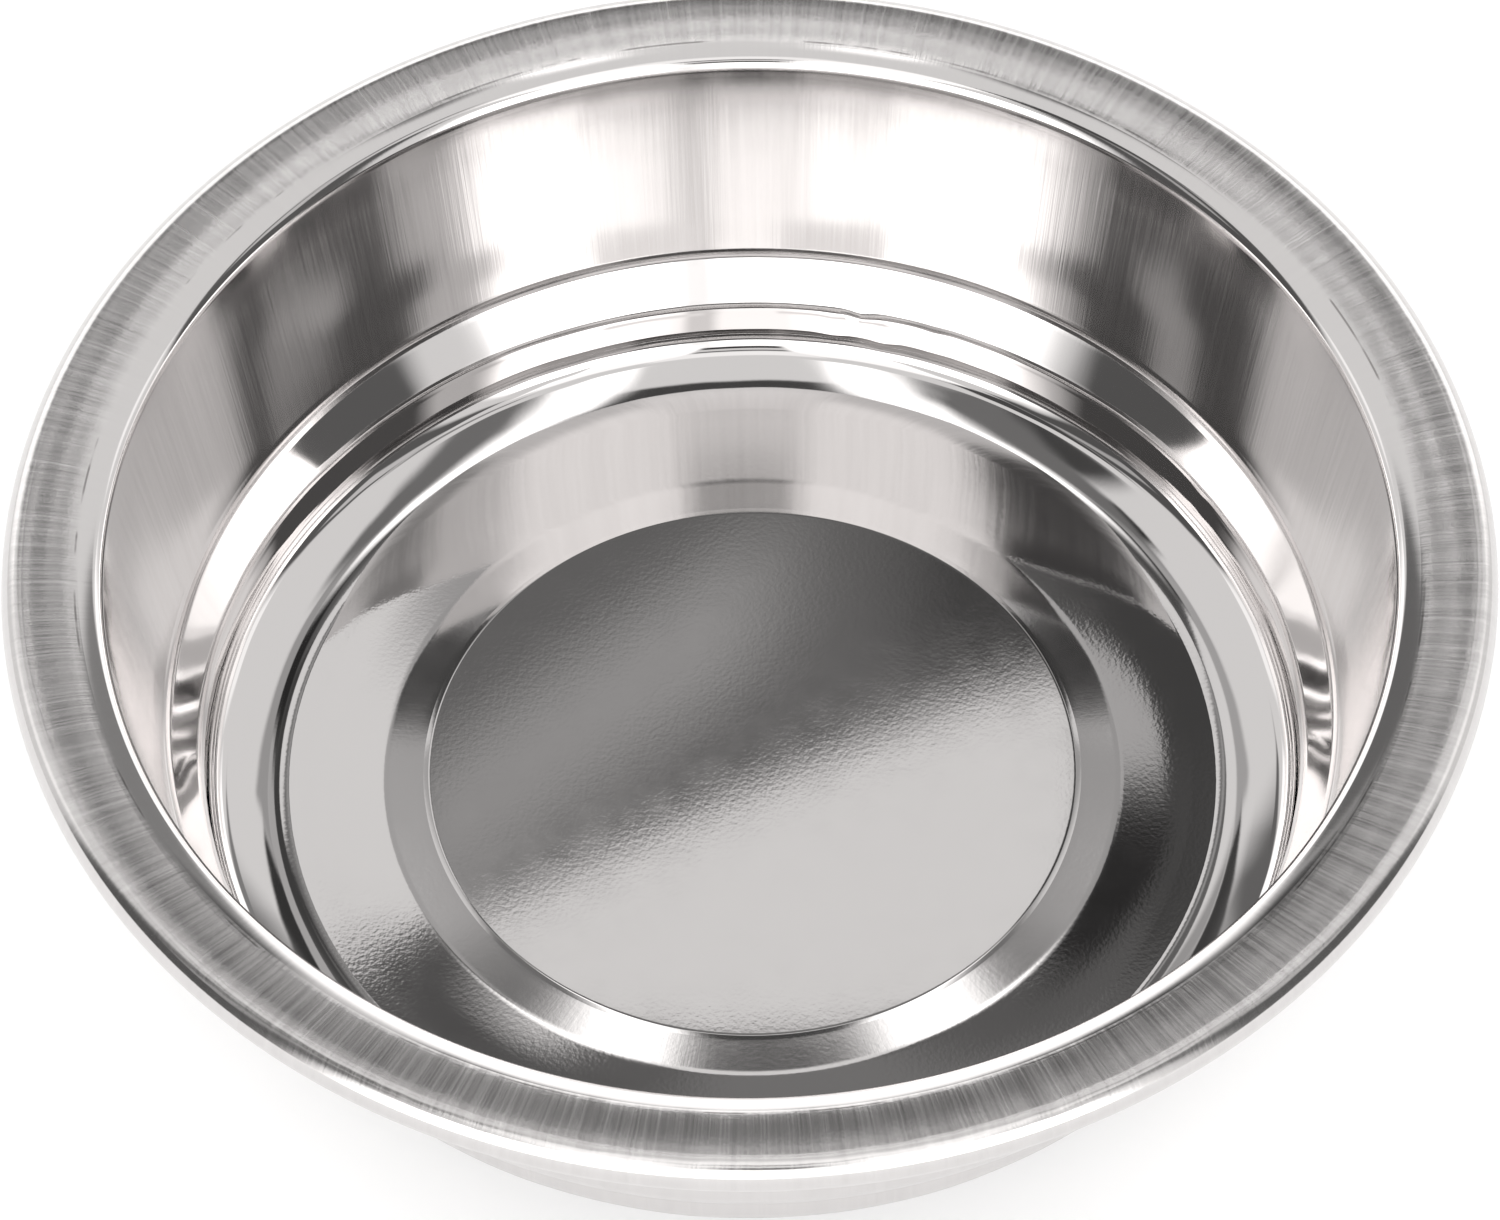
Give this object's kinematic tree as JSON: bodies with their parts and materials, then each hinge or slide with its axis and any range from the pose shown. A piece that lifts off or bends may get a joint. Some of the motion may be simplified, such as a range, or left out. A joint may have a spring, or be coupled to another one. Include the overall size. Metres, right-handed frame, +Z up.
{
  "type": "magnetic parts tray",
  "caption": "Round pressed steel parts tray with a rolled rim, stepped wall, raised flat centre and a rubber-covered magnetic base.",
  "frame": {"origin": "centre of the rubber foot ring, on the surface the tray stands on", "axes": "+Z up along the tray's axis, towards the open side; the tray is round, so X and Y are any two directions across it"},
  "size_m": [0.108, 0.108, 0.037],
  "materials": {
    "stainless_sheet": "polished inside, satin on the rim",
    "foam_adhesive": "matt",
    "ferrite": "matt, ground faces",
    "plated_steel": "zinc plated",
    "black_rubber": "moulded, matt"
  },
  "bodies": {
    "root": {"dish": "stainless_sheet", "adhesive_pad": "foam_adhesive", "ring_magnet": "ferrite", "backing_plate": "plated_steel", "rubber_boot": "black_rubber"}
  },
  "joints": []
}
